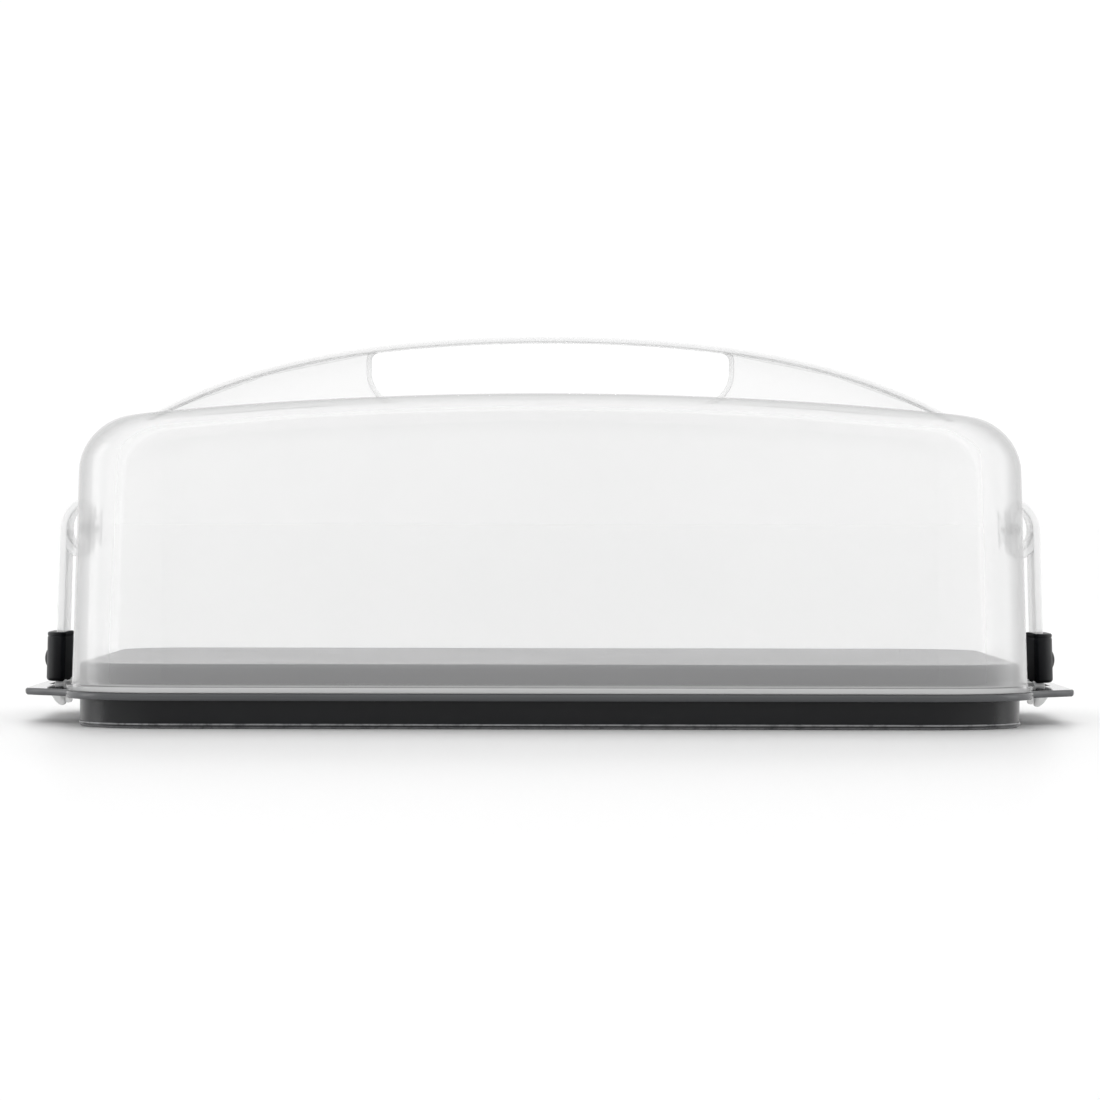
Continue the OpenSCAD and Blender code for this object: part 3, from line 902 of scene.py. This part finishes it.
def broad_light(name, power, from_y, height, spread):
    """A wide soft sun from +Y or -Y, at a height and spread in degrees. Nothing mirrors it."""
    sun, lamp = add_light(name, "SUN", power)
    sun.angle = math.radians(spread)
    lamp.rotation_euler = (-from_y * math.radians(90 - height), 0, 0)
    lamp.visible_glossy = False


white_room(horizon=1.02, overhead=0.92, dim=0.1, wide=52, seen=1.035)
soft_box("side_box_left", -1, 11)
soft_box("side_box_right", 1, 7)
broad_light("back_light", 2.0, 1, 20, 20)
broad_light("front_fill", 0.65, -1, 30, 60)
bpy.context.scene.view_settings.view_transform = "Standard"
print("lights:", [light.name for light in bpy.data.lights])

# %% [markdown]
# ## Finishes
# Three small effects turn up in more than one plastic, so each is a node group with its own inputs
# and outputs. The first is the grain of the mould: a fine pebble that the steel prints into the
# surface, and large faint patches where the plastic cooled unevenly. Everything is measured in
# object coordinates, so the grain has its real size and stays put on the part.

# %% Mould grain
def new_group(name, inputs, outputs):
    """An empty node group that takes a Place and the named numbers and gives the named numbers. With
    it come the sockets of its input node and its output node."""
    group = bpy.data.node_groups.new(name, "ShaderNodeTree")
    sockets = [("Place", "INPUT", "Vector")] + [(number, "INPUT", "Float") for number in inputs]
    for socket, direction, kind in sockets + [(number, "OUTPUT", "Float") for number in outputs]:
        group.interface.new_socket(name=socket, in_out=direction, socket_type="NodeSocket" + kind)
    return group, group.nodes.new("NodeGroupInput").outputs, group.nodes.new("NodeGroupOutput")


def place_group(tree, group, inputs):
    """Places a group in a material, fills its inputs and gives its outputs."""
    return put(tree, "Group", inputs, node_tree=group).outputs


def noise(tree, place, scale, detail, **more):
    """Noise of a scale per metre, from 0 to 1. More inputs, such as Roughness, go in by name."""
    return put(tree, "TexNoise", {"Vector": place, "Scale": scale, "Detail": detail, **more}).outputs["Fac"]


def make_mould_grain():
    """Height is fine noise of Pebbles per metre. Mottle is soft noise of Patches per metre, spread
    to 0..1."""
    group, given, out = new_group("mould_grain", ("Pebbles", "Patches"), ("Height", "Mottle"))
    fine = noise(group, given["Place"], given["Pebbles"], 2.0, Roughness=0.6)
    soft = noise(group, given["Place"], given["Patches"], 3.0)
    wire(group, out, {"Height": fine, "Mottle": ramp(group, soft, 0.32, 0.68)})
    return group


mould_grain = make_mould_grain()


def grain_on(tree, pebbles, patches):
    """Object coordinates, and the outputs of the mould grain placed on them."""
    place = put(tree, "TexCoord").outputs["Object"]
    return place, place_group(tree, mould_grain, {"Place": place, "Pebbles": pebbles, "Patches": patches})


# %% [markdown]
# The second effect lightens edges in spots. On the pins it is wear. On the tray's foot and the
# sleeves' rims it is a painted highlight, a lighter colour standing in for light caught by the edge.
# The mesh, or a height on it, says where the edge is, and noise breaks the line up into spots.

# %% Wear and painted highlight on edges
def make_wear_and_painted_sheen():
    """The output is the Edge mask times a smooth step of streaky noise: wear, or a painted highlight where
    the edge is painted lighter. Strength sets how much survives.
    """
    group, given, out = new_group("rubbed_edges", ("Edge", "Strength"), ("Rub",))
    streak = noise(group, given["Place"], 260.0, 4.0, Roughness=0.7)
    sheen_and_wear_edge = calc(group, "MULTIPLY", given["Edge"], ramp(group, streak, 0.25, 0.6, 0.35, 1.0))
    wire(group, out, {"Rub": calc(group, "MULTIPLY", sheen_and_wear_edge, given["Strength"], clamp=True)})
    return group


rubbed_edges = make_wear_and_painted_sheen()

# %% [markdown]
# The third effect is the milk in the clear plastic. Polypropylene is cloudy by itself, and it flows
# into the mould in broad tongues, so its density drifts a little from place to place. The skin also
# ripples very slightly, which wavers the reflections.

# %% Cloudy milk
def make_cloudy_milk():
    """Density drifts round 1 by Drift, from noise stretched upwards. Ripple is a soft height for a bump."""
    group, given, out = new_group("cloudy_milk", ("Clouds", "Drift"), ("Density", "Ripple"))
    tall = put(group, "Mapping", {"Vector": given["Place"], "Scale": (1.0, 1.0, 0.45)}).outputs[0]
    cloud = noise(group, tall, given["Clouds"], 3.0, Distortion=0.6)
    drift = calc(group, "MULTIPLY", calc(group, "SUBTRACT", cloud, 0.5), given["Drift"])
    ripple = noise(group, given["Place"], 55.0, 1.0)
    wire(group, out, {"Density": calc(group, "ADD", drift, 1.0), "Ripple": ripple})
    return group


cloudy_milk = make_cloudy_milk()
print("finish groups:", [group.name for group in (mould_grain, rubbed_edges, cloudy_milk)])

# %% [markdown]
# ## Milky plastic
# Real scattering inside the plastic would be slow and noisy. A thin wall can do without: part of the
# light goes straight through by the shader's alpha, and the rest meets a white skin. Seen edge-on,
# light has further to go through the wall, so the skin is denser and greyer there, which draws the
# outline of the hood. A face seen from behind lets everything through, or each wall would count
# twice. For a beam on its way to the floor the wall counts about double, because the milk scatters
# it.

# %% Milky plastic
MILK_SHADOW = 2.2
MILK_EDGE = 0.78


def attribute(tree, name):
    """The number that the mesh carries under a name, or 0 where it has none."""
    return put(tree, "Attribute", attribute_name=name).outputs["Fac"]


def relief(tree, height, strength, depth):
    """The normal of a surface with a height from 0 to 1 pressed into it."""
    return put(tree, "Bump", {"Height": height, "Strength": strength, "Distance": depth}).outputs["Normal"]


def milky_plastic(name, white, edge_grey, thin, thick, clouds):
    """Alpha goes from thin to MILK_EDGE as the skin turns edge-on, and to thick where the moulding is
    solid. The base colour goes from white to edge_grey by the same share."""
    material, tree, shader = new_material(name, 0.17, ior=1.49, specular=0.45)
    place, grain = grain_on(tree, 1800.0, 14.0)
    milk = place_group(tree, cloudy_milk, {"Place": place, "Clouds": clouds, "Drift": 0.3})

    grazing = ramp(tree, put(tree, "LayerWeight", {"Blend": 0.5}).outputs["Facing"], 0.08, 0.82)
    outside = calc(tree, "SUBTRACT", 1.0, attribute(tree, "inner_skin"), clamp=True)
    edge = calc(tree, "MULTIPLY", grazing, outside)
    wall = blend(tree, edge, calc(tree, "MULTIPLY", milk["Density"], thin), MILK_EDGE)
    body = blend(tree, attribute(tree, "solid_share"), wall, thick)
    front = calc(tree, "SUBTRACT", 1.0, put(tree, "NewGeometry").outputs["Backfacing"])
    scatter = blend(tree, put(tree, "LightPath").outputs["Is Shadow Ray"], 1.0, MILK_SHADOW)

    skin = blend_colour(tree, edge, (white, white, white), (edge_grey, edge_grey, edge_grey))
    faint = calc(tree, "MULTIPLY", grain["Mottle"], 0.05)
    pebble = calc(tree, "MULTIPLY", grain["Height"], 0.004)
    wire(tree, shader, {
        "Alpha": calc(tree, "MULTIPLY", calc(tree, "MULTIPLY", body, front), scatter, clamp=True),
        "Base Color": blend_colour(tree, faint, skin, (0.55, 0.56, 0.57)),
        "Roughness": ramp(tree, grain["Mottle"], 0.0, 1.0, 0.14, 0.2),
        "Normal": relief(tree, calc(tree, "ADD", milk["Ripple"], pebble), 0.3, 0.05 * MM)})
    return material


hood_milk = milky_plastic("hood_milky_plastic", 0.87, 0.37, 0.26, 0.6, clouds=9.0)
handle_milk = milky_plastic("handle_milky_plastic", 0.91, 0.84, 0.2, 0.72, clouds=16.0)
lever_milk = milky_plastic("lever_milky_plastic", 0.95, 0.9, 0.3, 0.8, clouds=40.0)
print("milky plastics made")

# %% [markdown]
# ## Dark tray plastic
# The tray is anthracite plastic. Its colour has four zones that are all bands of height: the foot,
# painted much darker than the rest as the shade under the flange; the bead along the foot's edge and
# the sole under it, painted lighter as a highlight; and the flange and the platform.
# The tabs are where fingers press, so the grain there is rubbed smooth and mirrors the room. The
# platform has faint marks from knives and cake boards, which show in its gloss only.

# %% Dark tray plastic
def dark_tray_plastic():
    """Colour: by height, the foot painted dark as shade and the plate lighter, with a painted highlight on
    the bead and sole. Roughness: mottled, low on the tabs.
    """
    material, tree, shader = new_material("tray_dark_plastic", 0.25, specular=0.26)
    place, grain = grain_on(tree, 2200.0, 22.0)
    split = put(tree, "SeparateXYZ", {0: place})
    height, across = split.outputs["Z"], calc(tree, "ABSOLUTE", split.outputs["X"])

    plate = ramp(tree, height, FOOT_H - 0.3 * MM, FOOT_H + 0.1 * MM)
    # Painted highlight: the bead and the sole at the foot's lower edge are lightened in colour, standing in
    # for the bright line where that edge mirrors the floor.
    bead = ramp(tree, calc(tree, "ABSOLUTE", calc(tree, "SUBTRACT", height, BEAD_Z)), BEAD_R, 0.2 * BEAD_R)
    sole = ramp(tree, height, 1.3 * MM, 0.4 * MM, 0.0, 0.6)
    sheen_and_wear_edge = calc(tree, "MAXIMUM", bead, sole)
    wear_and_sheen = place_group(tree, rubbed_edges, {"Place": place, "Edge": sheen_and_wear_edge, "Strength": 0.9})["Rub"]
    # Painted shade: the foot gets a far darker colour than the flange and platform of the same plastic,
    # standing in for the shade under the flange.
    painted_foot_shade = blend_colour(tree, plate, (0.0095, 0.01, 0.011), (0.085, 0.087, 0.091))
    patchy = blend_colour(tree, calc(tree, "MULTIPLY", grain["Mottle"], 0.08), painted_foot_shade, (0.03, 0.031, 0.033))

    past_rim = ramp(tree, across, HOOD_HALF_X + 1.0 * MM, HOOD_HALF_X + 4.0 * MM)
    polish = calc(tree, "MULTIPLY", past_rim, ramp(tree, height, FLANGE_Z - 0.6 * MM, FLANGE_Z - 0.1 * MM))
    knife = {"Vector": place, "Rotation": (0, 0, 0.5), "Scale": (40.0, 1500.0, 40.0)}
    marks = noise(tree, put(tree, "Mapping", knife).outputs[0], 1.0, 2.0)
    top = ramp(tree, height, PLATFORM_Z - 0.4 * MM, PLATFORM_Z - 0.1 * MM)
    cuts = calc(tree, "MULTIPLY", ramp(tree, marks, 0.62, 0.72, 0.0, 0.03), top)
    rough = calc(tree, "ADD", ramp(tree, grain["Mottle"], 0.0, 1.0, 0.235, 0.265), cuts)
    pebble = calc(tree, "MULTIPLY", grain["Height"], calc(tree, "SUBTRACT", 1.0, polish))
    wire(tree, shader, {
        # The painted highlight on the bead and sole pulls the colour towards this grey.
        "Base Color": blend_colour(tree, wear_and_sheen, patchy, (0.3, 0.303, 0.308)),
        "Roughness": blend(tree, polish, rough, 0.06),
        "Normal": relief(tree, pebble, 0.04, 0.01 * MM)})
    return material


tray_dark = dark_tray_plastic()
print("tray plastic made")

# %% [markdown]
# ## Black rubber
# The sleeves are soft black rubber with a slightly blue cast and a dull sheen. The pebble is
# coarser than on the hard plastic so that thumbs hold. The rims are painted a little lighter as a
# highlight along the lip, and the side that is tucked against the hood never gets rubbed, so it stays dull.

# %% Black rubber
def black_rubber():
    """Colour from near black to charcoal by a painted highlight on the rims. Roughness is mottled and high
    where tucked.
    """
    material, tree, shader = new_material("grip_black_rubber", 0.48, specular=0.16)
    place, grain = grain_on(tree, 1300.0, 90.0)
    # Painted highlight: the lip and rims are lightened towards charcoal, standing in for the thin bright line
    # the lip catches.
    wear_and_sheen = place_group(tree, rubbed_edges, {
        "Place": place, "Edge": attribute(tree, "rim_share"), "Strength": 0.7})["Rub"]
    dust = calc(tree, "MULTIPLY", grain["Mottle"], 0.3)
    dusty = blend_colour(tree, dust, (0.0012, 0.0015, 0.0025), (0.004, 0.0046, 0.006))
    rough = ramp(tree, grain["Mottle"], 0.0, 1.0, 0.38, 0.46)
    wire(tree, shader, {
        "Base Color": blend_colour(tree, wear_and_sheen, dusty, (0.014, 0.015, 0.018)),
        "Roughness": blend(tree, attribute(tree, "tucked_share"), rough, 1.0),
        "Normal": relief(tree, grain["Height"], 0.3, 0.04 * MM)})
    return material


rubber = black_rubber()

# %% [markdown]
# ## Pin plastic
# The hinge pins are small rods of the same cloudy plastic, so they hardly show inside the hub. Fine
# rings run round them and they shine a little more where the lever's hub has rubbed them.

# %% Pin plastic
def pin_plastic():
    """Fine rings along Y as a bump and in the gloss, with soft mottling in the colour."""
    material, tree, shader = new_material("pin_pale_plastic", 0.35)
    place, grain = grain_on(tree, 2500.0, 160.0)
    wave = {"Vector": place, "Scale": 800.0, "Distortion": 1.2, "Detail": 1.0}
    rings = put(tree, "TexWave", wave, bands_direction="Y").outputs["Fac"]
    wear_and_sheen = place_group(tree, rubbed_edges, {"Place": place, "Edge": rings, "Strength": 0.6})["Rub"]
    tint = blend_colour(tree, grain["Mottle"], (0.88, 0.89, 0.9), (0.94, 0.95, 0.96))
    front = calc(tree, "SUBTRACT", 1.0, put(tree, "NewGeometry").outputs["Backfacing"])
    wire(tree, shader, {
        "Base Color": blend_colour(tree, calc(tree, "MULTIPLY", wear_and_sheen, 0.3), tint, (0.97, 0.97, 0.97)),
        "Roughness": ramp(tree, wear_and_sheen, 0.0, 0.6, 0.4, 0.28),
        "Alpha": calc(tree, "MULTIPLY", front, ramp(tree, grain["Mottle"], 0.0, 1.0, 0.4, 0.46)),
        "Normal": relief(tree, rings, 0.2, 0.01 * MM)})
    return material


pin_pale = pin_plastic()

# %% [markdown]
# Last, every piece is dressed. The pieces are found by the first word of their names, so the ears
# and pins that came with the frame are dressed along with the new pieces.

# %% Dress the pieces
FINISH = {"hood": hood_milk, "hinge_ears": hood_milk, "handle": handle_milk, "window": handle_milk,
          "carry": handle_milk, "latch_lever": lever_milk, "latch_arm": lever_milk, "tray": tray_dark,
          "grip": rubber, "latch_grip": rubber, "hinge_pin": pin_pale}


def dress(piece):
    """Gives a piece the finish whose word its name starts with."""
    material = next(FINISH[word] for word in FINISH if piece.name.startswith(word))
    piece.data.materials.clear()
    piece.data.materials.append(material)
    return piece.name


dressed = [dress(piece) for piece in bpy.context.scene.objects if piece.type == "MESH" and piece != floor]
print("dressed:", dressed)
